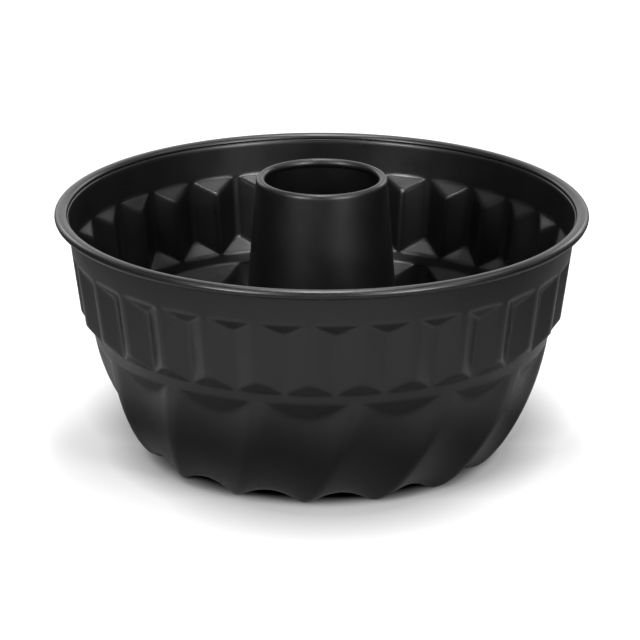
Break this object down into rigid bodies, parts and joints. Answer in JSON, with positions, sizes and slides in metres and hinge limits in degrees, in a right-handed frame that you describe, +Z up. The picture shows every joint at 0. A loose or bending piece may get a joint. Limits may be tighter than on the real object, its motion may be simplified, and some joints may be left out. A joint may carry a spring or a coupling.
{
  "type": "fluted ring cake pan",
  "caption": "Tall fluted ring-cake pan of dark non-stick coated steel: a pressed, swirled body with a rolled, wired rim and an open conical centre tube.",
  "frame": {"origin": "centre of the circle of feet, on the surface that the pan stands on", "axes": "+Z up along the axis of the pan and its tube, -Y towards the viewer of the picture, +X to that viewer's right"},
  "size_m": [0.22, 0.22, 0.1167],
  "materials": {
    "coated_sheet": "satin graphite non-stick coating on pressed carbon steel",
    "coated_tube": "satin graphite non-stick coating on a rolled steel tube",
    "wire": "plain drawn steel wire"
  },
  "bodies": {
    "root": {"pan_body": "coated_sheet", "centre_tube": "coated_tube", "rim_wire": "wire"}
  },
  "joints": []
}
